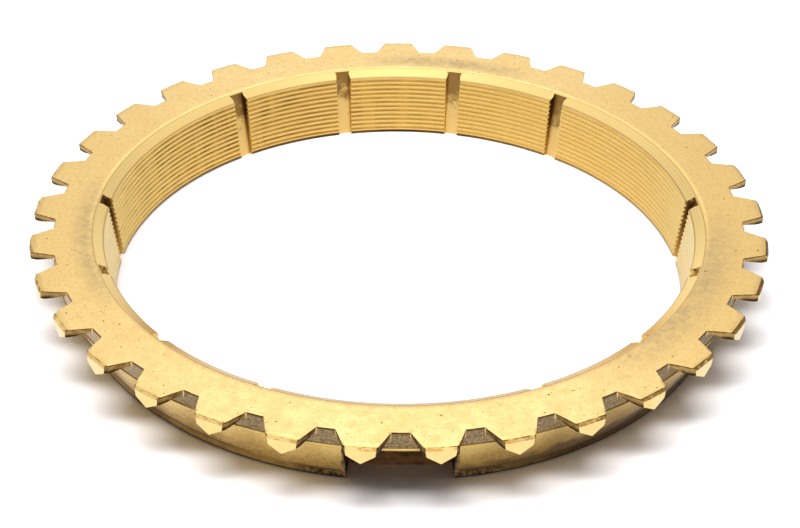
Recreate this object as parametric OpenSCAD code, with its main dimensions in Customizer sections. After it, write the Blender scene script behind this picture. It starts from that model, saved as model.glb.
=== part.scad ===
// Synchronizer ring, millimetres, hub side down on z = 0, axis on Z.
// One brass piece: toothed flange, notched collar and a grooved cone bore.
// A blocker tooth stands on +Y and a strut notch is centred on -Y.

/* [Ring] */
// Diameter over the tooth tips
ring_d = 86.4; // [76:0.2:100]
// Height along the axis
ring_h = 8.5; // [7.5:0.1:11]
// Depth of the flange, from the flat face to the top edge of the collar
flange_t = 2.05; // [1.7:0.05:2.4]

/* [Blocker teeth] */
// Number of teeth, a multiple of the number of notches
tooth_n = 33; // [27:3:39]
// Height of a tooth from the gap floor to the tip
tooth_h = 2.75; // [2:0.05:3.2]
// Width of a tooth at the tip
tip_w = 3.34; // [2.6:0.02:3.8]
// Width of a gap at its floor
gap_w = 2.06; // [1.4:0.02:2.6]
// Height of the flank at the tip, above the roof-shaped underside
flank_h = 0.97; // [0.7:0.01:1.3]
// Draft of a flank, which makes the tooth narrower towards its underside
flank_draft = 5.7; // [0:0.1:8]
// Depth of the tooth at the ridge of its underside
ridge_h = 2.3; // [2:0.05:2.6]
// Bevel along the outer edge of the flat face
tip_bevel = 0.3; // [0.1:0.05:0.5]
// Depth of the bevel at the outer end of the underside
under_bevel = 0.3; // [0.1:0.05:0.5]
// Slope of the bevel at the outer end of the underside
under_a = 25; // [15:1:40]

/* [Cone bore] */
// Width of the flat face between gap floor and lead-in chamfer
face_w = 4.45; // [3.8:0.05:6]
// Radial width of the lead-in chamfer
lead_w = 1.3; // [0.6:0.05:1.5]
// Depth of the lead-in chamfer
lead_d = 0.72; // [0.4:0.02:1]
// Angle between cone and axis
cone_a = 7.5; // [6:0.1:9]
// Radial width of the broken edge at the small end
exit_w = 0.1; // [0.05:0.05:0.2]
// Height of the broken edge at the small end
exit_h = 0.35; // [0.2:0.05:0.5]

/* [Bore grooves] */
// Spacing of the fine grooves along the axis
groove_pitch = 0.6; // [0.5:0.02:0.8]
// Width of a groove at its mouth
groove_w = 0.44; // [0.2:0.02:0.46]
// Depth of a groove
groove_d = 0.3; // [0.1:0.02:0.34]

/* [Oil slots] */
// Slot places around the bore, one in each set is left out behind a notch
slot_places = 15; // [9:6:15]
// Width of a slot at its floor
slot_w = 1.5; // [1:0.1:2]
// Slope of each slot wall away from square
slot_wall_a = 12; // [4:1:20]
// Depth of a slot below the cone at the large end
slot_top_d = 1.0; // [0.7:0.05:1.1]
// Depth of a slot below the cone at the small end
slot_low_d = 0.5; // [0.4:0.02:0.6]

/* [Collar] */
// Ledge where the collar meets the gap floor
ledge_w = 0.15; // [0.05:0.05:0.3]
// Width of the rest face between bore and foot band
foot_w = 4.2; // [3.6:0.05:4.6]
// Height of the straight foot band
foot_h = 0.93; // [0.5:0.01:1.4]
// Broken outer edge of the foot band
foot_edge = 0.15; // [0.05:0.05:0.3]

/* [Strut notches] */
// Number of notches
notch_n = 3; // [3:3:3]
// Width of a notch at its ceiling
notch_w = 12; // [8:0.5:13]
// Lean of each side of a notch, which makes it narrower towards the rest face
notch_side_a = 2.4; // [0:0.1:5]
// Wall left between notch and cone
notch_wall = 1.65; // [1.3:0.05:2]
// Depth of the collar left above a notch
notch_lip = 0.4; // [0.1:0.05:0.5]
// Bevel of the collar edges beside a notch, at the ceiling
notch_top_bevel = 0.1; // [0.05:0.05:0.3]
// Bevel of the collar edges beside a notch, at the foot band
notch_low_bevel = 0.45; // [0.1:0.05:0.7]

/* [Hidden] */
$fn = 240;
tip_r = ring_d / 2;
root_r = tip_r - tooth_h;
face_r = root_r - face_w;
throat_r = face_r - lead_w;
throat_z = ring_h - lead_d;
cone_k = tan(cone_a);
exit_r = throat_r - (throat_z - exit_h) * cone_k;
bore_r = exit_r + exit_w;
foot_r = bore_r + foot_w;
collar_z = ring_h - flange_t;
collar_r = root_r + ledge_w;
collar_a = atan((collar_r - foot_r) / (collar_z - foot_h));
groove_z = throat_z - groove_pitch * 0.9;
groove_n = 1 + floor((groove_z - groove_w / 2 - exit_h) / groove_pitch);
notch_z = collar_z - notch_lip;
notch_low_r = throat_r - throat_z * cone_k + notch_wall;
notch_edge_x = notch_w / 2 - (notch_z - foot_h) * tan(notch_side_a);
notch_edge_y = sqrt(foot_r * foot_r - notch_edge_x * notch_edge_x);
notch_edge_a = collar_a + atan((notch_low_bevel - notch_top_bevel) / (collar_z - foot_h));
pitch_a = 360 / tooth_n;
root_half = root_r * sin(pitch_a / 2) - gap_w / 2;
flank_a = atan((root_half - tip_w / 2) / tooth_h);
roof_k = (ridge_h - under_bevel - flank_h) / (tip_w / 2 - flank_h * tan(flank_draft));
slot_set = slot_places / notch_n;
slot_low_r = throat_r - throat_z * cone_k + slot_low_d;
slot_lean = atan((throat_r + slot_top_d - slot_low_r) / throat_z);
over = 1;

// Radius of the plain cone at a height
function cone_r(z) = throat_r - (throat_z - z) * cone_k;

// Wall of the bore from the large end down: three points for each groove
function bore_line() = concat(
    [[face_r, ring_h]],
    [[throat_r, throat_z]],
    [for (i = [0 : groove_n - 1], p = groove_points(groove_z - i * groove_pitch)) p],
    [[exit_r, exit_h]],
    [[bore_r, 0]]
);

// Mouth, floor and mouth of one groove centred at a height
function groove_points(z) = [
    [cone_r(z + groove_w / 2), z + groove_w / 2],
    [cone_r(z) + groove_d, z],
    [cone_r(z - groove_w / 2), z - groove_w / 2]
];

// Turned body: flange disc, collar cone, foot band and bore
module turned_body() {
    rotate_extrude()
        polygon(concat(
            bore_line(),
            [[foot_r - foot_edge, 0]],
            [[foot_r, foot_edge]],
            [[foot_r, foot_h]],
            [[collar_r, collar_z]],
            [[root_r, collar_z]],
            [[root_r, ring_h]]
        ));
}

// Outline of one tooth seen from outside: flat top and roof-shaped underside
module tooth_roof(deep, k) {
    half = root_half + over;
    polygon([
        [-half, ring_h],
        [-half, half * k - deep],
        [0, -deep],
        [half, half * k - deep],
        [half, ring_h]
    ]);
}

// Everything above one roof, running inwards from the tip and down by an angle
module roof_block(deep, a) {
    translate([0, tip_r, ring_h])
        rotate([90 + a, 0, 0])
            translate([0, 0, -over])
                linear_extrude(height = tooth_h + face_w)
                    tooth_roof(deep * cos(a), roof_k * cos(a));
}

// Everything on the tooth side of one flank
module flank_block() {
    reach = tooth_h + face_w;
    translate([tip_w / 2, tip_r, ring_h])
        rotate([0, flank_draft, flank_a])
            translate([-reach, -reach, -ring_h])
                cube([reach, reach + tip_w, ring_h + over]);
}

// One tooth, cut to length and height by the turned outline
module tooth() {
    intersection() {
        flank_block();
        mirror([1, 0, 0])
            flank_block();
        roof_block(ridge_h, 0);
        roof_block(ridge_h - under_bevel, under_a);
    }
}

// Turned outline of the flange: tip cylinder, tip bevel and flat face
module flange_outline() {
    rotate_extrude()
        polygon([
            [0, -over],
            [tip_r, -over],
            [tip_r, ring_h - tip_bevel],
            [tip_r - tip_bevel, ring_h],
            [0, ring_h]
        ]);
}

module toothed_flange() {
    intersection() {
        for (i = [0 : tooth_n - 1])
            rotate([0, 0, i * pitch_a])
                tooth();
        flange_outline();
    }
}

// Cutter for one oil slot: floor leans out from the small end to the large end
module oil_slot() {
    deep = slot_top_d + 2 * over;
    wide = slot_w / 2 + deep * tan(slot_wall_a);
    translate([0, slot_low_r, 0])
        rotate([-slot_lean, 0, 0])
            translate([0, 0, -over])
                linear_extrude(height = ring_h + 3 * over)
                    polygon([[-slot_w / 2, 0], [slot_w / 2, 0], [wide, -deep], [-wide, -deep]]);
}

module oil_slots() {
    for (i = [0 : slot_places - 1])
        if (i % slot_set != floor(slot_set / 2))
            rotate([0, 0, (i + 0.5) * 360 / slot_places])
                oil_slot();
}

// Cutter for the bevel along one collar edge beside a notch, above the foot band
module notch_bevel() {
    intersection() {
        translate([notch_edge_x, notch_edge_y, foot_h])
            rotate([-notch_edge_a, notch_side_a, 0])
                translate([notch_low_bevel / 2, -notch_low_bevel / 2, -ring_h])
                    rotate([0, 0, 45])
                        translate([-2 * over, 0, 0])
                            cube([4 * over, over, 2 * ring_h]);
        translate([0, 0, foot_h])
            cube([tip_r, tip_r, notch_z - foot_h]);
    }
}

// Cutter for one strut notch, its inner wall running level with the cone
module strut_notch() {
    lean = (notch_z + over) * tan(notch_side_a);
    notch_bevel();
    mirror([1, 0, 0])
        notch_bevel();
    difference() {
        rotate([90, 0, 180])
            linear_extrude(height = tip_r)
                polygon([
                    [-notch_w / 2 + lean, -over],
                    [notch_w / 2 - lean, -over],
                    [notch_w / 2, notch_z],
                    [-notch_w / 2, notch_z]
                ]);
        translate([0, 0, -2 * over])
            cylinder(
                h = ring_h + 2 * over,
                r1 = notch_low_r - 2 * over * cone_k,
                r2 = notch_low_r + ring_h * cone_k
            );
    }
}

module strut_notches() {
    for (i = [0 : notch_n - 1])
        rotate([0, 0, 180 + i * 360 / notch_n])
            strut_notch();
}

module synchronizer_ring() {
    color([0.83, 0.68, 0.33])
        difference() {
            union() {
                turned_body();
                toothed_flange();
            }
            oil_slots();
            strut_notches();
        }
}

synchronizer_ring();
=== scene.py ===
"""Brass synchronizer ring on a white table: one closed mesh with machined, forged and tarnished finishes."""
import math

import bpy
import numpy as np
from mathutils import Euler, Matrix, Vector


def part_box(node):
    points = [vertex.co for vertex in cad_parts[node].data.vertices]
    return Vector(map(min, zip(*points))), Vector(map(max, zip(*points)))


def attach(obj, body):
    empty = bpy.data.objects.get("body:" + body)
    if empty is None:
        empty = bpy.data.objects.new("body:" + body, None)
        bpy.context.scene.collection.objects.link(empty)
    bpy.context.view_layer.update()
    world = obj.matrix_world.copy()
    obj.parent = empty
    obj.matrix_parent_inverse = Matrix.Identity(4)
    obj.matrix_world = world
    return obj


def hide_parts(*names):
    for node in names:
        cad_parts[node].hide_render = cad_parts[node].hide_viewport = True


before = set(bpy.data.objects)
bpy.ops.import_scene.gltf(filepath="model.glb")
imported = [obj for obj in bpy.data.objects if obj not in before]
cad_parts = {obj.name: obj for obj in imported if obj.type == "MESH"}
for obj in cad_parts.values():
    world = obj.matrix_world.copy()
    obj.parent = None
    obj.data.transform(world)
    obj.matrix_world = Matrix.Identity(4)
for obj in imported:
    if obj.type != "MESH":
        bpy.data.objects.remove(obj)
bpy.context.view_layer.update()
NODE = "synchronizer_ring"


def slope(a):
    """Rise over run of a line at an angle in degrees."""
    return math.tan(math.radians(a))


# Sizes in millimetres, and angles in degrees, clockwise from +Y seen from above.
# The frame gives the height and the radius over the teeth, the rest are the ring's own features.
MM = 0.001
ring_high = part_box(NODE)[1]
TOP = ring_high.z / MM
TIP_R = ring_high.y / MM
TOOTH_H = 2.75
FACE_W = 4.45
ROOT_R = TIP_R - TOOTH_H
FACE_R = ROOT_R - FACE_W
EDGE = 0.06

# Blocker teeth
TEETH = 33
PITCH = 360 / TEETH
TIP_HALF = 1.67
GAP_W = 2.06
TIP_BEVEL = 0.3
FLANK_H = 0.97
RIDGE_H = 2.3
UNDER_BEVEL = 0.3
UNDER_K = slope(25)
DRAFT_K = slope(5.7)
ROOT_HALF = ROOT_R * math.sin(math.radians(PITCH / 2)) - GAP_W / 2
FLANK_K = (ROOT_HALF - TIP_HALF) / (TIP_R - ROOT_R)
FLANK_LEN = math.hypot(1, FLANK_K)
ROOF_K = (RIDGE_H - UNDER_BEVEL - FLANK_H) / (TIP_HALF - FLANK_H * DRAFT_K)

# Cone bore with its lead-in chamfer and fine grooves
LEAD_W = 1.3
LEAD_H = 0.72
THROAT_R = FACE_R - LEAD_W
THROAT_Z = TOP - LEAD_H
CONE_K = slope(7.5)
EXIT_W = 0.1
EXIT_H = 0.35
GROOVES = 12
GROOVE_PITCH = 0.6
GROOVE_W = 0.44
GROOVE_D = 0.3
GROOVE_Z = THROAT_Z - 0.9 * GROOVE_PITCH
# Places across a groove in its widths, and how far down they lie in its depths
GROOVE_SHAPE = ((-0.5, 0), (-0.08, 0.9), (0.08, 0.9), (0.5, 0))


def cone_r(z):
    """Radius of the plain cone at a height."""
    return THROAT_R - (THROAT_Z - z) * CONE_K


EXIT_R = cone_r(EXIT_H)
BORE_R = EXIT_R + EXIT_W

# Collar and foot band
FLANGE_H = 2.05
COLLAR_STEP = 0.15
FOOT_W = 4.2
FOOT_H = 0.93
FOOT_EDGE = 0.15
COLLAR_Z = TOP - FLANGE_H
COLLAR_R = ROOT_R + COLLAR_STEP
FOOT_R = BORE_R + FOOT_W
COLLAR_K = (COLLAR_R - FOOT_R) / (COLLAR_Z - FOOT_H)

# Oil slots, with the angles of the columns that carry their walls
SLOT_ANGLES = [side * a for a in (12, 36, 84, 108, 132, 156) for side in (-1, 1)]
SLOT_HALF = 0.75
SLOT_LOW_D = 0.5
SLOT_TOP_D = 1.0
SLOT_WALL_K = slope(12)
SLOT_LOW_R = cone_r(0) + SLOT_LOW_D
SLOT_K = (THROAT_R + SLOT_TOP_D - SLOT_LOW_R) / THROAT_Z
SLOT_FLOOR_A = math.degrees(SLOT_HALF / THROAT_R)
SLOT_MOUTH_A = SLOT_FLOOR_A + 0.35
SLOT_FAR_A = SLOT_MOUTH_A + 1

# Strut notches, with the angles of the columns that carry their sides
NOTCH_ANGLES = [180, 60, -60]
NOTCH_HALF = 6.0
NOTCH_LIP = 0.4
NOTCH_WALL_W = 1.65
NOTCH_Z = COLLAR_Z - NOTCH_LIP
NOTCH_R = cone_r(0) + NOTCH_WALL_W
NOTCH_SIDE_K = slope(2.4)
NOTCH_LOW_BEVEL = 0.45
NOTCH_TOP_BEVEL = 0.1
NOTCH_IN_A = 8.95
NOTCH_WALL_A = 9.1
NOTCH_OUT_A = 9.36
NOTCH_FAR_A = 14

# Where the columns of the mesh stand on a tooth and a gap, as shares of each stretch of the outline
ROUND_FROM = {"tip": 0.82, "flank": 0.88}
FILLET_TO = 0.06
COLUMN_STOPS = {
    "tip": (0, 0.3, 0.6, ROUND_FROM["tip"], 0.91, 1),
    "flank": (0.94, ROUND_FROM["flank"], 0.6, 0.3, 0.025),
    "gap": (FILLET_TO, 0.5, 1),
}
NOTCH_ROUND = (0, 0.25, 0.5, 0.75, 1)
SAME_PLACE_A = 0.03

# Where the profile points of the mesh stand: radii, depths and heights, and shares of a stretch
FACE_STOPS = (FACE_R + 0.6, FACE_R + 2.2, FACE_R + 3.9)
FACE_SHARES = (0.4, 0.8, 1)
EDGE_MIDDLE = 0.29 * EDGE
WALL_STOPS = (TIP_BEVEL, 0.36, 0.46)
WALL_SHARES = (0.5, 0.94, 1)
GAP_DROP = 0.48
GAP_SHARES = (0.1, 0.25, 0.4, 0.55)
UNDER_SHARES = (0.05, 0.234, 0.6, 1)
ROOT_SHARES = (0.5, 1)
RIDGE_STEPS = (0, 0.02, 0.04)
LIP_SHARE = 0.3
LIP_STEP = 0.1
COLLAR_STOPS = (6.06, 5.9, 4.7, 3.5, 2.4, 1.6, 1.08)
CEILING_STOP = FOOT_R + 0.6
NOTCH_STOPS = (4, 2, FOOT_H, FOOT_EDGE, 0)
REST_STOP = BORE_R + 1.2
LEAD_STOPS = (0.5, 0.863)

# Profile points at which one zone of the section ends
END_FACE = len(FACE_STOPS) + len(FACE_SHARES)
END_RIM = END_FACE + 2
END_BEVEL = END_RIM + 1
END_WALL = END_RIM + len(WALL_STOPS) + len(WALL_SHARES)
END_UNDER = END_WALL + len(UNDER_SHARES)
END_ROOT = END_UNDER + len(ROOT_SHARES)
END_LIP = END_ROOT + 3
END_COLLAR = END_LIP + len(COLLAR_STOPS)
END_FOOT = END_COLLAR + 2
END_REST = END_FOOT + 2
END_EXIT = END_REST + 2
END_GROOVES = END_EXIT + len(GROOVE_SHAPE) * GROOVES + 1

# Rounds in which the foot of a flank settles on the roof, and the angle past which an edge shows sharp
ROOF_TRIES = 8
SHARP_A = 38


def lerp(a, b, f):
    """Value a share of the way from a to b."""
    return a + (b - a) * f


def polar(r, a, z):
    """Point at a radius, an angle from +Y and a height."""
    return np.array((r * math.sin(math.radians(a)), r * math.cos(math.radians(a)), z))


def turn(p, a):
    """Point turned clockwise about the axis."""
    c, s = math.cos(math.radians(a)), math.sin(math.radians(a))
    return np.array((c * p[0] + s * p[1], c * p[1] - s * p[0], p[2]))


def heading(p):
    """Angle of a point, clockwise from +Y."""
    return math.degrees(math.atan2(p[0], p[1]))


def wrap(a):
    """Angle brought between -180 and 180."""
    return (a + 180) % 360 - 180


def nearest(a, centres):
    """The nearest of some centre lines, and the angle from it."""
    centre = min(centres, key=lambda c: abs(wrap(a - c)))
    return centre, wrap(a - centre)


def mirrored(points, a):
    """Points built for a positive angle, on the side of the centre line that the angle names."""
    side = -1 if a < 0 else 1
    return [np.array((side * x, y, z)) for x, y, z in points]


def flank_angle(r, depth):
    """Angle from the tooth's centre line at which its flank crosses a radius."""
    reach = TIP_HALF - DRAFT_K * FLANK_LEN * depth + TIP_R * FLANK_K
    return math.degrees(math.asin(reach / (r * FLANK_LEN)) - math.atan(FLANK_K))


def tooth_place(a):
    """Part of the tooth outline at an angle from the tooth's centre line, and how far along it."""
    m, tip, root = abs(a), flank_angle(TIP_R, 0), flank_angle(ROOT_R, 0)
    if m <= tip:
        return "tip", m / tip
    if m >= root:
        return "gap", (m - root) / (PITCH / 2 - root)
    low, high, ray = polar(ROOT_R, root, 0), polar(TIP_R, tip, 0), polar(1, m, 0)
    run = high - low
    return "flank", (low[1] * ray[0] - low[0] * ray[1]) / (run[0] * ray[1] - run[1] * ray[0])


def sharp_outline(part, f, depth):
    """Point on the outline of a tooth or gap, with sharp corners, at a depth below the flat face."""
    tip, root = flank_angle(TIP_R, depth), flank_angle(ROOT_R, depth)
    if part == "tip":
        return polar(TIP_R, f * tip, 0)
    if part == "gap":
        return polar(ROOT_R, lerp(root, PITCH / 2, f), 0)
    return lerp(polar(ROOT_R, root, 0), polar(TIP_R, tip, 0), f)


def outline(part, f, depth):
    """Angle and radius of a tooth's or gap's outline, with the tooth's rounded corners and bevelled tip."""
    point = sharp_outline(part, f, depth)
    if part in ROUND_FROM and f > ROUND_FROM[part]:
        half_way = 0.5 * (f - ROUND_FROM[part]) / (1 - ROUND_FROM[part])
        u = half_way if part == "tip" else 1 - half_way
        corner = sharp_outline("tip", 1, depth)
        start, end = [sharp_outline(name, share, depth) for name, share in ROUND_FROM.items()]
        point = lerp(lerp(start, corner, u), lerp(corner, end, u), u)
    return heading(point), min(math.hypot(point[0], point[1]), TIP_R - TIP_BEVEL + depth)


def roof(x, y):
    """Depth of the roof-shaped underside of a tooth."""
    return min(RIDGE_H, RIDGE_H - UNDER_BEVEL + (TIP_R - y) * UNDER_K) - ROOF_K * abs(x)


def rim_points(a):
    """Points over the rim, from the flat face to the collar, and the height where the collar starts."""
    part, f = tooth_place(a)

    def at(depth, inset=0.0):
        """Point on the outline at a depth, drawn inwards by an inset."""
        b, r = outline(part, f, depth)
        return polar(r - inset, b, TOP - depth)

    b, r = outline(part, f, 0)
    points = [polar(s, b, TOP) for s in (FACE_R + EDGE,) + FACE_STOPS]
    points += [polar(lerp(FACE_STOPS[-1], r - EDGE, g), b, TOP) for g in FACE_SHARES]
    points += [at(EDGE_MIDDLE, EDGE_MIDDLE), at(EDGE)] + [at(d) for d in WALL_STOPS]
    low = GAP_DROP
    for _ in range(ROOF_TRIES if part != "gap" else 0):
        low = max(roof(*at(low)[:2]), GAP_DROP)
    points += [at(lerp(WALL_STOPS[-1], low, g)) for g in WALL_SHARES]
    x, y, _ = points[-1]
    root_y = math.sqrt(ROOT_R**2 - x * x)
    ledge = TOP - COLLAR_Z
    if y - root_y < EDGE / 3:
        points += [at(lerp(low, ledge, g)) for g in GAP_SHARES]
    else:
        run = [lerp(y, root_y, g) for g in UNDER_SHARES]
        points += [np.array((x, s, TOP - roof(x, s))) for s in run]
    deep = TOP - points[-1][2]
    b = heading(points[-1])
    if deep < ledge - EDGE / 2:
        points += [polar(ROOT_R, b, TOP - lerp(deep, ledge, g)) for g in ROOT_SHARES]
        return mirrored(points, a), COLLAR_Z
    steps = [polar(COLLAR_R - (deep - ledge + g) * COLLAR_K, b, TOP - deep - g) for g in RIDGE_STEPS]
    return mirrored(points[:-1] + steps, a), TOP - deep - EDGE


def notch_wall(z):
    """Radius of a notch's inner wall at a height."""
    return NOTCH_R + z * CONE_K


def notch_half(z):
    """Half the width of a notch at a height."""
    return NOTCH_HALF - (NOTCH_Z - min(z, NOTCH_Z)) * NOTCH_SIDE_K


def on_side(half, r, z):
    """Point at a radius and a height, half a width away from a centre line."""
    return np.array((half, math.sqrt(r * r - half * half), z))


def notch_bevel(z):
    """Bevel of the collar's edge beside a notch."""
    if z <= FOOT_H:
        return EDGE / 2
    return lerp(NOTCH_LOW_BEVEL, NOTCH_TOP_BEVEL, (z - FOOT_H) / (COLLAR_Z - FOOT_H))


def notch_profile(lip):
    """Radius and height under the lip of the collar, along the notch's ceiling and down its inner wall."""
    line = list(lip) + [(lip[-1][0] - EDGE, NOTCH_Z), (CEILING_STOP, NOTCH_Z)]
    line += [(notch_wall(NOTCH_Z) + EDGE, NOTCH_Z), (notch_wall(NOTCH_Z - EDGE), NOTCH_Z - EDGE)]
    return line + [(notch_wall(z), z) for z in NOTCH_STOPS]


def collar_profile(top):
    """Radius and height from the top of the collar down to the rest face."""
    heights = [top, top - min(EDGE, LIP_SHARE * (top - COLLAR_STOPS[0])), *COLLAR_STOPS, FOOT_H]
    profile = [(COLLAR_R - (COLLAR_Z - z) * COLLAR_K, z) for z in heights]
    if top == COLLAR_Z:
        profile[0] = (COLLAR_R - EDGE, top)
    return profile + [(FOOT_R, FOOT_EDGE), (FOOT_R - FOOT_EDGE, 0)]


def collar_points(a, top):
    """Points down the collar or down a notch, at an angle from the nearest notch's centre line."""
    m = abs(a)
    profile = collar_profile(top)
    points = []
    for (r, z), (notch_r, notch_z) in zip(profile, notch_profile(profile[:3])):
        bevel, half = notch_bevel(z), notch_half(z)
        notch_x = notch_half(notch_z) - (LIP_STEP if notch_z > NOTCH_Z else 0)
        edge = math.degrees(math.asin((half + bevel) / r))
        inside, outside = on_side(notch_x, notch_r, notch_z), polar(r, edge, z)
        wall = on_side(half, r if z > NOTCH_Z else r - bevel, z)
        corner = on_side(half, r, z)
        if m >= NOTCH_FAR_A:
            points.append(polar(r, m, z))
        elif m >= NOTCH_OUT_A:
            far = (m - NOTCH_OUT_A) / (NOTCH_FAR_A - NOTCH_OUT_A)
            points.append(polar(r, lerp(edge, NOTCH_FAR_A, far), z))
        elif m >= NOTCH_WALL_A:
            f = (m - NOTCH_WALL_A) / (NOTCH_OUT_A - NOTCH_WALL_A)
            points.append(lerp(lerp(wall, corner, f), lerp(corner, outside, f), f))
        elif m >= NOTCH_IN_A:
            points.append(lerp(inside, wall, (m - NOTCH_IN_A) / (NOTCH_WALL_A - NOTCH_IN_A)))
        else:
            points.append(on_side(notch_x * m / NOTCH_IN_A, notch_r, notch_z))
    return mirrored(points, a)


def bore_line():
    """Radius and height from the rest face up the bore to the edge of the flat face."""
    line = [(REST_STOP, 0), (BORE_R + EDGE, 0), (BORE_R - EDGE * EXIT_W / EXIT_H, EDGE), (EXIT_R, EXIT_H)]
    for i in reversed(range(GROOVES)):
        for across, down in GROOVE_SHAPE:
            z = GROOVE_Z - i * GROOVE_PITCH + across * GROOVE_W
            line.append((cone_r(z) + down * GROOVE_D, z))
    line += [(lerp(THROAT_R, FACE_R, g), lerp(THROAT_Z, TOP, g)) for g in (0, *LEAD_STOPS)]
    return line + [(FACE_R - EDGE, TOP - EDGE * (TOP - THROAT_Z) / (FACE_R - THROAT_R))]


BORE_LINE = bore_line()


def bore_points(a):
    """Points up the bore or up an oil slot, at an angle from the nearest slot's centre line."""
    m = abs(a)
    points = []
    for r, z in BORE_LINE:
        floor = SLOT_LOW_R + z * SLOT_K
        if m >= SLOT_FAR_A or floor <= r:
            points.append(polar(r, m, z))
            continue
        mouth = SLOT_HALF + (floor - r) * SLOT_WALL_K
        if m > SLOT_MOUTH_A:
            edge = math.degrees(math.asin(mouth / r))
            far = (m - SLOT_MOUTH_A) / (SLOT_FAR_A - SLOT_MOUTH_A)
            points.append(polar(r, lerp(edge, SLOT_FAR_A, far), z))
        elif m > SLOT_FLOOR_A:
            up = (m - SLOT_FLOOR_A) / (SLOT_MOUTH_A - SLOT_FLOOR_A)
            points.append(lerp(np.array((SLOT_HALF, floor, z)), on_side(mouth, r, z), up))
        else:
            points.append(np.array((SLOT_HALF * m / SLOT_FLOOR_A, floor, z)))
    return mirrored(points, a)


def stations():
    """Angle of each column at the rim and at the bore, in order round the ring."""
    outer = [sharp_outline(part, f, 0) for part, stops in COLUMN_STOPS.items() for f in stops]
    half = sorted(heading(p) for p in outer)
    tooth = [-a for a in half[1:-1]] + half
    teeth = np.array([wrap(i * PITCH + a) for i in range(TEETH) for a in tooth])
    columns = [(a, a) for a in teeth]
    slot = (-SLOT_MOUTH_A, -SLOT_FLOOR_A, 0, SLOT_FLOOR_A, SLOT_MOUTH_A)
    rounded = [lerp(NOTCH_WALL_A, NOTCH_OUT_A, f) for f in NOTCH_ROUND]
    notch = [side * a for a in (NOTCH_IN_A, *rounded) for side in (-1, 1)]
    cuts = [wrap(c + d) for c in SLOT_ANGLES for d in slot]
    cuts += [wrap(c + d) for c in NOTCH_ANGLES for d in notch]
    for a in cuts:
        crowded = np.min(np.abs(teeth - a)) < SAME_PLACE_A
        columns.append((a + 1.5 * SAME_PLACE_A if crowded else a, a))
    return sorted(columns)


def column(rim_a, bore_a):
    """All profile points of one column, once round the section of the ring."""
    tooth = round(rim_a / PITCH) * PITCH
    points, top = rim_points(rim_a - tooth)
    notch, from_notch = nearest(bore_a, NOTCH_ANGLES)
    slot, from_slot = nearest(bore_a, SLOT_ANGLES)
    line = [turn(p, tooth) for p in points]
    line += [turn(p, notch) for p in collar_points(from_notch, top)]
    return line + [turn(p, slot) for p in bore_points(from_slot)]


def rim_zone(j, part, f):
    """Finish of a face on the rim."""
    if part == "gap" and f < FILLET_TO and END_RIM <= j < END_ROOT:
        return "root"
    if j < END_FACE:
        return "face"
    if j < END_RIM:
        return "rim" if part == "tip" else "edge"
    if j < END_BEVEL and part == "tip":
        return "bevel"
    if j < END_WALL:
        return part
    return "under" if j < END_UNDER and part != "gap" else "gap"


def collar_zone(j, from_notch):
    """Finish of a face on the collar, the foot band or in a notch."""
    if j >= END_LIP and from_notch < NOTCH_WALL_A:
        return "notch"
    if j >= END_LIP and from_notch < NOTCH_OUT_A:
        return "notch_edge"
    return "collar" if j < END_COLLAR else "foot"


def bore_zone(j, from_slot):
    """Finish of a face on the rest face, in the bore or on the lead-in chamfer."""
    if j < END_REST:
        return "rest"
    if j < END_GROOVES + len(LEAD_STOPS) and from_slot < SLOT_MOUTH_A:
        return "slot_floor" if from_slot < SLOT_FLOOR_A else "slot_wall"
    if j < END_EXIT:
        return "exit"
    if j >= END_GROOVES:
        return "lead"
    return "ridge" if (j - END_EXIT) % len(GROOVE_SHAPE) == 0 else "groove"


def zone(j, rim_a, bore_a):
    """Finish of the face after profile point j, between two columns with these middle angles."""
    if j < END_ROOT:
        return rim_zone(j, *tooth_place(rim_a - round(rim_a / PITCH) * PITCH))
    if j < END_FOOT:
        return collar_zone(j, abs(nearest(bore_a, NOTCH_ANGLES)[1]))
    return bore_zone(j, abs(nearest(bore_a, SLOT_ANGLES)[1]))


def ring_mesh(finishes):
    """The ring as one closed mesh of four-sided faces, each with the finish of its zone."""
    places = stations()
    grid = np.array([column(*p) for p in places])
    count, size, _ = grid.shape
    faces, kinds = [], []
    names = list(finishes)
    for i in range(count):
        k = (i + 1) % count
        full_turn = 360 if k == 0 else 0
        rim_a, bore_a = [(a + b + full_turn) / 2 for a, b in zip(places[i], places[k])]
        for j in range(size):
            up = (j + 1) % size
            faces.append((i * size + j, k * size + j, k * size + up, i * size + up))
            kinds.append(names.index(zone(j, rim_a, bore_a)))
    mesh = bpy.data.meshes.new("ring")
    mesh.from_pydata((grid.reshape(-1, 3) * MM).tolist(), [], faces)
    for name in names:
        mesh.materials.append(finishes[name])
    mesh.polygons.foreach_set("material_index", kinds)
    mesh.shade_smooth()
    mesh.set_sharp_from_angle(angle=math.radians(SHARP_A))
    mesh.update()
    return mesh


class Graph:
    """A node graph, with short calls for the nodes of the finishes, the table and the studio."""

    def __init__(self, tree):
        self.tree = tree

    def node(self, kind, *inputs, **settings):
        """New node with some settings, and with its first inputs fed in order."""
        made = self.tree.nodes.new(kind)
        for key, value in settings.items():
            setattr(made, key, value)
        for socket, value in zip(made.inputs, inputs):
            self.feed(socket, value)
        return made

    def feed(self, socket, value):
        """Link a node's output to a socket, or set the socket to a constant."""
        if isinstance(value, bpy.types.NodeSocket):
            self.tree.links.new(value, socket)
        elif value is not None:
            socket.default_value = value

    def math(self, operation, a, b=None, c=None):
        """Result of a sum on values."""
        return self.node("ShaderNodeMath", a, b, c, operation=operation).outputs[0]

    def spread(self, value, low, high, to_low=0.0, to_high=1.0):
        """Value between low and high, spread over another range and held at its ends."""
        return self.node("ShaderNodeMapRange", value, low, high, to_low, to_high).outputs[0]

    def choose(self, share, a, b):
        """Value a, or b where share is 1."""
        return self.node("ShaderNodeMix", share, None, a, b).outputs[0]


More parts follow.
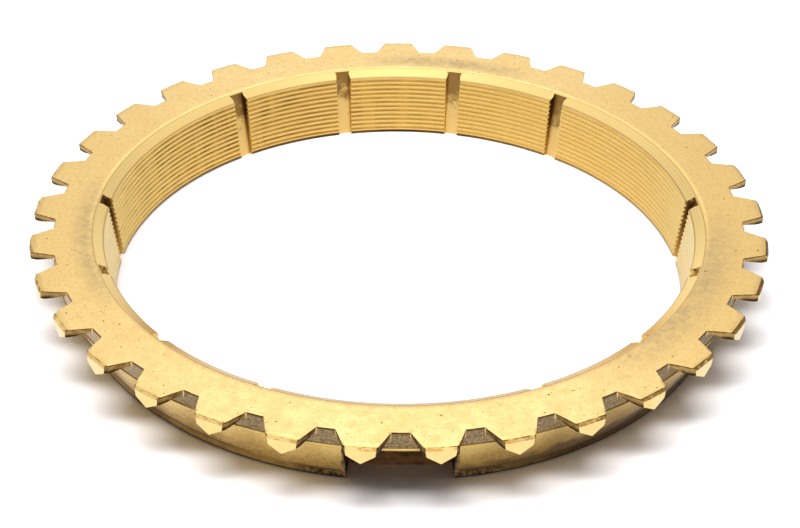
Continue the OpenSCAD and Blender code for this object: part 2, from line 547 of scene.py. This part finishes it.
class Finish(Graph):
    """One procedural finish of the brass, in millimetres on the ring's own axes."""

    def __init__(self, name, roughness):
        self.material = bpy.data.materials.new(name)
        self.material.use_nodes = True
        super().__init__(self.material.node_tree)
        self.shader = self.tree.nodes["Principled BSDF"]
        self.shader.inputs["Metallic"].default_value = 1.0
        self.shader.inputs["Roughness"].default_value = roughness
        place = self.node("ShaderNodeTexCoord").outputs["Object"]
        self.place = self.vector("SCALE", place, scale=1 / MM)
        self.height = self.node("ShaderNodeSeparateXYZ", self.place).outputs["Z"]
        flat = self.vector("MULTIPLY", self.place, (1, 1, 0))
        self.radius = self.vector("LENGTH", flat)
        self.heading = self.vector("NORMALIZE", flat)
        split = self.node("ShaderNodeSeparateXYZ", self.heading)
        self.side = split.outputs["X"]
        self.back = split.outputs["Y"]

    def vector(self, operation, a, b=None, scale=None):
        """Result of a sum on vectors."""
        made = self.node("ShaderNodeVectorMath", a, b, operation=operation)
        if scale is not None:
            made.inputs["Scale"].default_value = scale
        return made.outputs["Value" if operation in ("LENGTH", "DOT_PRODUCT") else "Vector"]

    def noise(self, size, detail=3.0, place=None):
        """Cloudy noise with patches of a size in millimetres."""
        made = self.node("ShaderNodeTexNoise")
        self.feed(made.inputs["Vector"], place or self.place)
        made.inputs["Scale"].default_value = 1 / size
        made.inputs["Detail"].default_value = detail
        return made.outputs[0]

    def lines(self, across, length, width, detail=3.0):
        """Noise drawn out round the ring: a length round it, and a width along a radius or a height."""
        round_way = self.vector("SCALE", self.heading, scale=TIP_R / length)
        step = self.math("DIVIDE", across, width)
        place = self.node("ShaderNodeCombineXYZ", 0.0, 0.0, step).outputs[0]
        return self.noise(1.0, detail, self.vector("ADD", round_way, place))

    def towards(self, a):
        """Cosine of the angle between a place and a heading."""
        return self.vector("DOT_PRODUCT", self.heading, tuple(polar(1, a, 0)))

    def arc(self, middle, half, r, width):
        """Share that falls from 1 to 0 round an arc: its middle angle, half its angle, radius and width."""
        ends = [math.cos(math.radians(a)) for a in (half, 0.3 * half)]
        along = self.spread(self.towards(middle), *ends)
        away = self.math("ABSOLUTE", self.math("SUBTRACT", self.radius, r))
        return self.math("MULTIPLY", along, self.spread(away, 0.2 * width, width, 1, 0))

    def beside_notches(self, near, far):
        """Share that falls from 1 to 0 between two angles away from the nearest notch."""
        closest = self.towards(NOTCH_ANGLES[0])
        for a in NOTCH_ANGLES[1:]:
            closest = self.math("MAXIMUM", closest, self.towards(a))
        return self.spread(closest, math.cos(math.radians(far)), math.cos(math.radians(near)))

    def below_cone(self):
        """Depth below the plain cone of the bore."""
        cone = self.math("MULTIPLY_ADD", self.height, CONE_K, cone_r(0))
        return self.math("SUBTRACT", self.radius, cone)

    def blend(self, share, a, b):
        """Colour a, or b where share is 1."""
        made = self.node("ShaderNodeMix", data_type="RGBA")
        self.feed(made.inputs["Factor"], share)
        for name, value in (("A", a), ("B", b)):
            socket = next(s for s in made.inputs if s.name == name and s.type == "RGBA")
            self.feed(socket, (*value, 1.0) if isinstance(value, tuple) else value)
        return next(s for s in made.outputs if s.type == "RGBA")

    def colour(self, value):
        """Give the brass its colour."""
        self.feed(self.shader.inputs["Base Color"], value)

    def rough(self, value):
        """Give the brass a roughness that varies."""
        self.feed(self.shader.inputs["Roughness"], value)

    def bump(self, height, depth, strength):
        """Fine relief with a depth in millimetres."""
        made = self.node("ShaderNodeBump")
        made.inputs["Strength"].default_value = strength
        made.inputs["Distance"].default_value = depth * MM
        self.feed(made.inputs["Height"], height)
        self.tree.links.new(made.outputs["Normal"], self.shader.inputs["Normal"])


# Tones of the brass that several finishes share
PALE = (0.95, 0.69, 0.30)
GOLD = (0.84, 0.57, 0.21)
WARM = (0.90, 0.61, 0.19)
DEEP = (0.60, 0.38, 0.12)
OLIVE = (0.32, 0.22, 0.065)
GREY = (0.50, 0.36, 0.17)
BROWN = (0.22, 0.11, 0.025)
DARK = (0.07, 0.033, 0.010)
ORANGE = (0.78, 0.43, 0.12)

# Grey stains on the flat face: middle angle, half angle, radius and width
STAINS = ((10, 18, 38.0, 1.7), (-99, 24, 36.4, 2.4), (117, 32, 36.4, 4.0))

# Offsets in millimetres that give a noise other patches than its neighbour's
SPECK_OFFSET = (70, 0, 0)
BEVEL_OFFSET = (40, 0, 0)

# Angles from a notch's centre line between which the dirt beside it fades out
DIRT_NEAR_A = 14
DIRT_FAR_A = 19


def turned_face(name, roughness, light, shade, stains=()):
    """Flat turned face with soft mottling, painted shade towards the sides, faint circular marks, stains and
    tiny pits.
    """
    f = Finish(name, roughness)
    tone = f.blend(f.spread(f.noise(6.0), 0.35, 0.7, 0, 0.5), light, shade)
    # Painted shade: the face darkens towards the right side, a little less towards the left.
    painted_side_light = f.math("MAXIMUM", f.side, f.math("MULTIPLY", f.side, -0.75))
    tone = f.blend(f.spread(painted_side_light, 0.45, 0.9, 0, 0.9), tone, shade)
    mottle = f.noise(1.3, 5.0)
    tone = f.blend(f.spread(mottle, 0.42, 0.66, 0, 0.5), tone, shade)
    grain = f.noise(0.35, 3.0)
    tone = f.blend(f.spread(grain, 0.46, 0.7, 0, 0.36), tone, DEEP)
    marks = f.lines(f.radius, 7.0, 0.25)
    tone = f.blend(f.spread(marks, 0.5, 0.75, 0, 0.2), tone, ORANGE)
    dust = f.spread(f.noise(0.8, 6.0), 0.34, 0.62, 0.3, 0.8)
    for stain in stains:
        tone = f.blend(f.math("MULTIPLY", f.arc(*stain), dust), tone, GREY)
    pits = f.spread(f.noise(0.24, 1.0), 0.73, 0.76)
    pits = f.math("MULTIPLY", pits, f.spread(f.noise(3.0), 0.42, 0.5))
    specks = f.noise(0.6, 1.0, f.vector("ADD", f.place, SPECK_OFFSET))
    pits = f.math("MAXIMUM", pits, f.spread(specks, 0.74, 0.78))
    f.colour(f.blend(pits, tone, OLIVE))
    f.rough(f.spread(mottle, 0.3, 0.7, roughness - 0.04, roughness + 0.06))
    f.bump(f.math("SUBTRACT", grain, pits), 0.012, 0.4)
    return f.material


def lead_finish():
    """Lead-in chamfer with turning marks, painted shade in front, a painted shadow line along its throat,
    and brown along its brim.
    """
    bright, umber = (0.96, 0.69, 0.27), (0.46, 0.27, 0.07)
    f = Finish("lead_in", 0.24)
    marks = f.lines(f.radius, 25.0, 0.16)
    tone = f.blend(f.spread(marks, 0.45, 0.75, 0, 0.45), bright, WARM)
    # Painted shade: the chamfer darkens towards the front of the ring.
    tone = f.blend(f.spread(f.back, -0.75, -0.95, 0, 0.9), tone, DEEP)
    # Painted shadow line along the throat.
    throat = f.spread(f.radius, THROAT_R + 0.05, THROAT_R + 0.2, 0.6, 0)
    tone = f.blend(throat, tone, BROWN)
    brim = f.spread(f.radius, FACE_R - 0.14, FACE_R - 0.06, 0, 0.6)
    f.colour(f.blend(brim, tone, umber))
    return f.material


def ridge_finish():
    """Lands between the grooves, with painted shade along the small end of the bore."""
    bright, dull = (0.80, 0.55, 0.18), (0.68, 0.45, 0.13)
    f = Finish("ridges", 0.3)
    worn = f.spread(f.lines(f.height, 5.0, 0.5), 0.4, 0.7)
    tone = f.blend(worn, bright, dull)
    # Painted shade: the lands darken to brown towards the small end of the bore.
    f.colour(f.blend(f.spread(f.height, 0.55, 0.8, 0.85, 0), tone, BROWN))
    return f.material


def groove_finish():
    """Grooves, with painted shade and grime the deeper they lie below the cone, less of both on the right
    and in worn patches, and paler on the right and in front as painted light.
    """
    left, right, front = (0.90, 0.65, 0.22), (0.98, 0.72, 0.27), (1.0, 0.82, 0.44)
    f = Finish("grooves", 0.36)
    drift = f.spread(f.lines(f.height, 4.0, 0.6, 4.0), 0.3, 0.7, -0.05, 0.05)
    # Painted shade and grime, growing with depth below the cone.
    shade_and_dirt = f.spread(f.math("ADD", f.below_cone(), drift), 0.12, 0.36)
    # Painted light: less of the shade and grime on the right.
    shade_and_dirt = f.math("MULTIPLY", shade_and_dirt, f.spread(f.side, -0.6, 0.5, 1.25, 0.12))
    worn = f.spread(f.lines(f.height, 2.5, 20.0), 0.5, 0.66, 1, 0.35)
    # Painted light: paler on the right and in front.
    tone = f.blend(f.spread(f.side, 0.1, 0.7), left, right)
    tone = f.blend(f.spread(f.back, 0.12, 0.04), tone, front)
    f.colour(f.blend(f.math("MULTIPLY", shade_and_dirt, worn), tone, BROWN))
    return f.material


def exit_finish():
    """Lower edge of the bore, black with painted shade at the back, streaked with rust brown, and lighter at
    the sides as painted light.
    """
    black, rust = (0.07, 0.026, 0.005), (0.30, 0.16, 0.035)
    f = Finish("bore_edge", 0.5)
    # Painted shade: black, streaked with rust brown.
    tone = f.blend(f.spread(f.lines(f.height, 6.0, 0.5), 0.5, 0.8), black, rust)
    # Painted light: lighter towards the sides, most on the right.
    painted_side_light = f.math("MAXIMUM", f.side, f.math("MULTIPLY", f.side, -0.6))
    f.colour(f.blend(f.spread(painted_side_light, 0.2, 0.8, 0, 0.5), tone, WARM))
    return f.material


def slot_floor_finish():
    """Slot floors, with painted shade of the deep slot in brown blotches over the upper half."""
    unshaded, recess_shade = (0.86, 0.60, 0.21), (0.20, 0.09, 0.02)
    f = Finish("slot_floor", 0.4)
    drift = f.math("ADD", f.noise(1.6, 2.0), f.math("MULTIPLY", f.noise(0.35, 3.0), 0.6))
    level = f.math("ADD", f.height, f.spread(drift, 0.5, 1.1, -2.2, 2.2))
    # Painted shade in brown blotches over the upper half of the slot.
    f.colour(f.blend(f.spread(level, 3.6, 6.2, 0, 0.8), unshaded, recess_shade))
    return f.material


def slot_wall_finish():
    """Slot walls, with painted shade that is darkest deep inside and high up, lighter in front and at the
    very back.
    """
    soot_and_shade = (0.10, 0.04, 0.008)
    f = Finish("slot_wall", 0.45)
    drift = f.spread(f.noise(0.6, 4.0), 0.3, 0.7, -0.4, 0.4)
    # Painted shade, darker from the front towards the back, less at the very back, and more deep inside and
    # high up.
    shade_and_dirt = f.spread(f.math("ADD", f.back, drift), -0.6, -0.05, 0.05, 0.85)
    shade_and_dirt = f.math("MULTIPLY", shade_and_dirt, f.spread(f.back, 0.85, 0.95, 1, 0.25))
    deep = f.spread(f.below_cone(), 0.0, 0.4, 0.45, 1.1)
    high = f.spread(f.height, 1.0, 5.5, 0.5, 1.0)
    shade_and_dirt = f.math("MULTIPLY", shade_and_dirt, f.math("MULTIPLY", deep, high))
    f.colour(f.blend(shade_and_dirt, WARM, soot_and_shade))
    return f.material


def tip_finish():
    """Tooth tips, clouded and finely ribbed, with a painted pale sheen towards the sides."""
    bright, dull, pale = (0.95, 0.75, 0.31), (0.90, 0.64, 0.23), (0.86, 0.76, 0.55)
    f = Finish("tooth_tips", 0.3)
    tone = f.blend(f.spread(f.noise(1.3, 4.0), 0.4, 0.75, 0, 0.6), bright, dull)
    # Painted sheen: paler towards both sides.
    painted_side_light = f.spread(f.math("ABSOLUTE", f.side), 0.6, 0.95, 0, 0.8)
    f.colour(f.blend(painted_side_light, tone, pale))
    f.bump(f.lines(f.height, 6.0, 0.12), 0.006, 0.5)
    return f.material


def bevel_finish():
    """Bevels of the tooth tips, with orange patches and brown grime, browned further towards the sides by
    painted shade, most on the right.
    """
    bright, orange = (0.96, 0.69, 0.27), (0.66, 0.37, 0.10)
    f = Finish("tip_bevels", 0.28)
    tone = f.blend(f.spread(f.noise(1.1, 5.0), 0.46, 0.6, 0, 0.9), bright, orange)
    drift = f.noise(0.8, 4.0, f.vector("ADD", f.place, BEVEL_OFFSET))
    # Painted shade towards the sides, most on the right.
    right = f.spread(f.side, 0.2, 0.85, 0, 0.35)
    left = f.spread(f.side, -0.6, -0.95, 0, 0.2)
    shade_and_dirt = f.math("ADD", drift, f.math("MAXIMUM", right, left))
    f.colour(f.blend(f.spread(shade_and_dirt, 0.58, 0.76, 0, 0.85), tone, BROWN))
    return f.material


def rim_finish():
    """Edge of the flat face over the tips, with brown patches that painted shade thickens towards the right.
    """
    rust = (0.20, 0.085, 0.010)
    f = Finish("rim_edge", 0.34)
    # Painted shade: the brown patches grow towards the right.
    cloud = f.math("ADD", f.noise(0.9, 4.0), f.spread(f.side, -0.1, 0.7, -0.06, 0.22))
    f.colour(f.blend(f.spread(cloud, 0.44, 0.66), WARM, rust))
    return f.material


def edge_finish():
    """Edge of the flat face along the flanks and gaps, dark with dirt."""
    black, rust = (0.08, 0.035, 0.007), (0.30, 0.17, 0.045)
    f = Finish("gap_edges", 0.4)
    f.colour(f.blend(f.spread(f.noise(0.8, 4.0), 0.4, 0.68), black, rust))
    return f.material


def root_finish():
    """Fillets in the tooth roots, worn bright in patches."""
    f = Finish("root_fillets", 0.32)
    f.colour(f.blend(f.spread(f.noise(0.6, 4.0), 0.4, 0.7), PALE, DEEP))
    return f.material


def flank_finish():
    """Tooth flanks, brown with dark edges, darkest in front, with painted light that makes them golder
    towards the back and on the right.
    """
    light, dirty, soot_and_shade = (0.34, 0.22, 0.07), (0.14, 0.075, 0.02), (0.03, 0.013, 0.003)
    f = Finish("flanks", 0.45)
    tone = f.blend(f.spread(f.noise(0.6, 4.0), 0.40, 0.64), light, dirty)
    # Painted light: golder towards the back and on the right.
    back, right = f.spread(f.back, -0.95, 0.4, 0, 0.55), f.spread(f.side, 0.3, 0.7, 0, 0.4)
    tone = f.blend(f.math("MAXIMUM", back, right), tone, GOLD)
    level = f.math("ADD", f.height, f.spread(f.noise(0.5, 4.0), 0.3, 0.7, -0.12, 0.12))
    hem = f.spread(level, TOP - 0.85 * FLANK_H, TOP - 0.5 * FLANK_H, 0.95, 0)
    brim = f.spread(level, TOP - 0.2, TOP - 0.08, 0, 0.7)
    f.colour(f.blend(f.math("MAXIMUM", hem, brim), tone, soot_and_shade))
    return f.material


def gap_finish():
    """Grey gap floors with fine grain and faint marks along them, paler on the left as painted light, with a
    painted shadow line along their top.
    """
    light, shade, pale = (0.40, 0.305, 0.17), (0.17, 0.115, 0.055), (0.80, 0.66, 0.45)
    f = Finish("gap_floors", 0.46)
    marks = f.lines(f.height, 2.5, 0.16, 4.0)
    grain = f.math("MULTIPLY_ADD", f.noise(0.25, 4.0), 0.8, f.math("MULTIPLY", marks, 0.5))
    tone = f.blend(f.spread(grain, 0.48, 0.8), light, shade)
    # Painted light: paler on the left.
    tone = f.blend(f.spread(f.side, -0.6, -0.95, 0, 0.6), tone, pale)
    # Painted shadow line along the top of the gap floor.
    f.colour(f.blend(f.spread(f.height, TOP - 0.26, TOP - 0.1), tone, DARK))
    f.bump(grain, 0.012, 0.5)
    return f.material


def under_finish():
    """Undersides of the teeth, as forged."""
    f = Finish("undersides", 0.48)
    f.colour(f.blend(f.spread(f.noise(1.2, 4.0), 0.35, 0.7), DEEP, BROWN))
    f.bump(f.noise(0.4, 4.0), 0.02, 0.5)
    return f.material


def collar_seam(f):
    """Share of a dark seam above the foot band, on one side and beside the notches."""
    wander = f.spread(f.lines(f.height, 12.0, 40.0), 0.3, 0.7, -0.15, 0.15)
    off_seam = f.math("SUBTRACT", f.math("ADD", f.height, wander), FOOT_H + 0.2)
    line = f.spread(f.math("ABSOLUTE", off_seam), 0.06, 0.22, 0.9, 0)
    left = f.spread(f.side, -0.4, -0.48)
    dark_run = f.math("MAXIMUM", left, f.beside_notches(DIRT_NEAR_A, DIRT_FAR_A))
    return f.math("MULTIPLY", line, dark_run)


def collar_finish():
    """Satin collar, mottled, with patina and painted shade towards the foot band and on the right, and a
    seam above the band.
    """
    bright, dull = (1.0, 0.75, 0.26), (0.84, 0.56, 0.13)
    shade_and_tarnish, spots, shade_and_dirt = (0.60, 0.36, 0.04), (0.34, 0.20, 0.03), (0.25, 0.14, 0.02)
    f = Finish("collar", 0.28)
    cloud = f.spread(f.noise(1.8, 5.0), 0.38, 0.68, 0, 0.5)
    tone = f.blend(cloud, bright, dull)
    drift = f.spread(f.noise(2.2, 5.0), 0.3, 0.7, -0.9, 0.9)
    # Painted shade: the level sinks on the right, so the darker tones reach higher there.
    level = f.math("ADD", f.math("ADD", f.height, drift), f.spread(f.side, -0.2, 0.5, 0.6, -1.2))
    # Patina and painted shade, darker towards the foot band.
    tone = f.blend(f.spread(level, 0.9, 5.2, 0.75, 0), tone, shade_and_tarnish)
    mottle = f.spread(f.noise(0.55, 6.0), 0.46, 0.66)
    tone = f.blend(f.math("MULTIPLY", mottle, f.spread(f.height, 1.2, 5.0, 0.6, 0.1)), tone, spots)
    # Painted shade and grime low on the collar, most on the right.
    low = f.math("MULTIPLY", f.spread(level, 0.9, 1.9, 0.95, 0), f.spread(f.side, -0.1, 0.35, 0.35, 1))
    tone = f.blend(low, tone, shade_and_dirt)
    f.colour(f.blend(collar_seam(f), tone, DARK))
    f.rough(f.spread(cloud, 0, 0.5, 0.24, 0.34))
    f.bump(f.noise(0.35, 4.0), 0.010, 0.3)
    return f.material


def foot_finish():
    """Foot band, its dark tone partly painted shade and darker still on the right, black and grey with grime
    beside the notches, and a painted black contact shadow along its lower edge.
    """
    light, shade, right_shade = (0.52, 0.35, 0.12), (0.27, 0.16, 0.045), (0.07, 0.04, 0.013)
    soot_and_shade, grime, black = (0.05, 0.03, 0.012), (0.34, 0.22, 0.09), (0.015, 0.008, 0.003)
    f = Finish("foot_band", 0.5)
    plain = f.blend(f.spread(f.lines(f.height, 3.0, 1.2, 5.0), 0.38, 0.66), light, shade)
    # Painted shade on the right.
    plain = f.blend(f.spread(f.side, 0.15, 0.5, 0, 0.8), plain, right_shade)
    dirty = f.blend(f.spread(f.noise(0.4, 5.0), 0.4, 0.62), soot_and_shade, grime)
    tone = f.blend(f.beside_notches(DIRT_NEAR_A, DIRT_FAR_A), plain, dirty)
    # Painted contact shadow: black along the lower edge.
    f.colour(f.blend(f.spread(f.height, 0.18, 0.32, 1, 0), tone, black))
    f.bump(f.noise(0.3, 4.0), 0.02, 0.5)
    return f.material


def notch_finish(name, light):
    """Rough sides of a notch, clouded with dirt."""
    f = Finish(name, 0.5)
    f.colour(f.blend(f.spread(f.noise(1.2, 5.0), 0.38, 0.66), light, DARK))
    f.bump(f.noise(0.3, 4.0), 0.02, 0.5)
    return f.material


def make_ring():
    """The ring in place of its solid, with a finish for each zone."""
    # Painted shade: the notches get a dark umber tone for the shade in their recess.
    umber = (0.24, 0.12, 0.04)
    finishes = {
        "face": turned_face("flat_face", 0.27, PALE, GOLD, STAINS),
        "rim": rim_finish(),
        "edge": edge_finish(),
        "bevel": bevel_finish(),
        "tip": tip_finish(),
        "root": root_finish(),
        "flank": flank_finish(),
        "gap": gap_finish(),
        "under": under_finish(),
        "collar": collar_finish(),
        "foot": foot_finish(),
        "notch": notch_finish("notches", umber),
        "notch_edge": notch_finish("notch_edges", DEEP),
        "rest": turned_face("rest_face", 0.4, GOLD, DEEP),
        "exit": exit_finish(),
        "ridge": ridge_finish(),
        "groove": groove_finish(),
        "slot_floor": slot_floor_finish(),
        "slot_wall": slot_wall_finish(),
        "lead": lead_finish(),
    }
    ring = bpy.data.objects.new("ring", ring_mesh(finishes))
    bpy.context.scene.collection.objects.link(ring)
    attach(ring, "root")
    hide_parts(NODE)


# The table: half its size in metres, its tones, and the reach in millimetres over which the ring shades it
TABLE_HALF = 3.0
TABLE_TONE = (0.93, 0.905, 0.90)
TABLE_ROUGH = 0.9
TABLE_LIGHT = (0.88, 0.90, 1)
SHADE_REACH = 15
# Painted light: the table glows this much in the metal's first reflections.
IN_METAL = 0.2

# Ramps of light. Between the first two values it goes from the third to the fourth.
NEAR_LIGHT = (0.30, 0.63, 0, 0.37)
OPEN_LIGHT = (0.65, 0.95, 0, 0.6)
SIDE_LOW_DOWN = (0.05, 0.3, 1, 0.12)
PANEL_ACROSS = (0.05, 0.38, 1, 0)
PANEL_FAR_END = (1.1, 2.1, 1, 0)
PANEL_NEAR_END = (0.05, 0.5, 0.5, 1)
WALL_LOW_DOWN = (0.2, 0.45, 1.12, 0.8)
WALL_HIGH_UP = (0.58, 0.75, 0, 0.2)
WALL_RIGHT = (0.05, 0.6, 1, 0.15)
WALL_LEFT = (-0.6, -0.25, 0.6, 1)

# The studio: the lowest rise of a ray that counts, and the light on dull surfaces and behind the ring
LOWEST_RISE = 0.05
SKY_LIGHT = 0.1
WHITE = 1.0

# The lamp in metres, and the camera with its place in millimetres and its turns in degrees
LAMP_PLACE = (-0.11, -0.115, 0.8)
LAMP_SIZE = (0.68, 0.22)
LAMP_RADIANCE = 14.2
CAMERA_PLACE = (-1.795, -203.875, 141.267)
CAMERA_TURN = (55.596, -0.449, -0.235)
CAMERA_LENS = 92.7
CAMERA_SENSOR = 36
CAMERA_NEAR = 0.01


def white_table():
    """White that the camera sees lifted to full white wherever the ring leaves it open to the sky, and that
    glows a little as painted light in the metal's first reflections.
    """
    material = bpy.data.materials.new("white_table")
    material.use_nodes = True
    g = Graph(material.node_tree)
    shader = g.tree.nodes["Principled BSDF"]
    shader.inputs["Base Color"].default_value = (*TABLE_TONE, 1)
    shader.inputs["Roughness"].default_value = TABLE_ROUGH
    shader.inputs["Specular IOR Level"].default_value = 0.0
    shader.inputs["Emission Color"].default_value = (*TABLE_LIGHT, 1)
    shade = g.node("ShaderNodeAmbientOcclusion")
    shade.inputs["Distance"].default_value = SHADE_REACH * MM
    open_sky = shade.outputs["AO"]
    path = g.node("ShaderNodeLightPath").outputs
    lift = g.math("ADD", g.spread(open_sky, *NEAR_LIGHT), g.spread(open_sky, *OPEN_LIGHT))
    seen = g.math("MULTIPLY", path["Is Camera Ray"], lift)
    first_bounce = g.math("LESS_THAN", path["Ray Depth"], 1.5)
    in_metal = g.math("MULTIPLY", path["Is Glossy Ray"], first_bounce)
    in_metal = g.math("MULTIPLY", in_metal, IN_METAL)
    g.feed(shader.inputs["Emission Strength"], g.math("ADD", seen, in_metal))
    return material


def make_floor():
    """White table under the ring."""
    mesh = bpy.data.meshes.new("floor")
    corners = [(x * TABLE_HALF, y * TABLE_HALF, 0) for x, y in ((-1, -1), (1, -1), (1, 1), (-1, 1))]
    mesh.from_pydata(corners, [], [(0, 1, 2, 3)])
    mesh.materials.append(white_table())
    floor = bpy.data.objects.new("floor", mesh)
    bpy.context.scene.collection.objects.link(floor)


def make_world():
    """White background. Metal shows a white tent with a panel overhead, darker low down at the sides."""
    world = bpy.data.worlds.new("studio")
    bpy.context.scene.world = world
    world.use_nodes = True
    g = Graph(world.node_tree)
    background = g.tree.nodes["Background"]
    background.inputs["Color"].default_value = (1, 1, 1, 1)
    way = g.node("ShaderNodeSeparateXYZ", g.node("ShaderNodeTexCoord").outputs["Generated"]).outputs
    up = g.math("MAXIMUM", way["Z"], LOWEST_RISE)
    across = g.math("ABSOLUTE", g.math("DIVIDE", way["X"], up))
    along = g.math("DIVIDE", way["Y"], up)
    side = g.math("MULTIPLY", way["X"], g.spread(up, *SIDE_LOW_DOWN))
    panel = g.math("MULTIPLY", g.spread(across, *PANEL_ACROSS), g.spread(along, *PANEL_FAR_END))
    panel = g.math("MULTIPLY", panel, g.spread(along, *PANEL_NEAR_END))
    wall = g.math("ADD", g.spread(up, *WALL_LOW_DOWN), g.spread(up, *WALL_HIGH_UP))
    wall = g.math("MULTIPLY", wall, g.spread(side, *WALL_RIGHT))
    wall = g.math("MULTIPLY", wall, g.spread(side, *WALL_LEFT))
    tent = g.math("ADD", wall, panel)
    path = g.node("ShaderNodeLightPath").outputs
    light = g.choose(path["Is Glossy Ray"], SKY_LIGHT, tent)
    light = g.choose(path["Is Camera Ray"], light, WHITE)
    g.feed(background.inputs["Strength"], light)


def make_lamp():
    """Oblong area lamp that faces straight down."""
    lamp = bpy.data.lights.new("overhead", "AREA")
    lamp.shape = "RECTANGLE"
    lamp.size, lamp.size_y = LAMP_SIZE
    lamp.energy = LAMP_RADIANCE * math.pi * lamp.size * lamp.size_y
    strip = bpy.data.objects.new("overhead", lamp)
    strip.location = LAMP_PLACE
    strip.visible_glossy = False
    bpy.context.scene.collection.objects.link(strip)


def make_camera():
    """Camera at the photograph's viewing angle."""
    data = bpy.data.cameras.new("camera")
    data.sensor_width = CAMERA_SENSOR
    data.lens = CAMERA_LENS
    data.clip_start = CAMERA_NEAR
    camera = bpy.data.objects.new("camera", data)
    camera.location = Vector(CAMERA_PLACE) * MM
    camera.rotation_euler = Euler([math.radians(a) for a in CAMERA_TURN])
    bpy.context.scene.collection.objects.link(camera)
    bpy.context.scene.camera = camera


make_ring()
make_floor()
make_world()
make_lamp()
make_camera()
bpy.context.scene.view_settings.view_transform = "Standard"
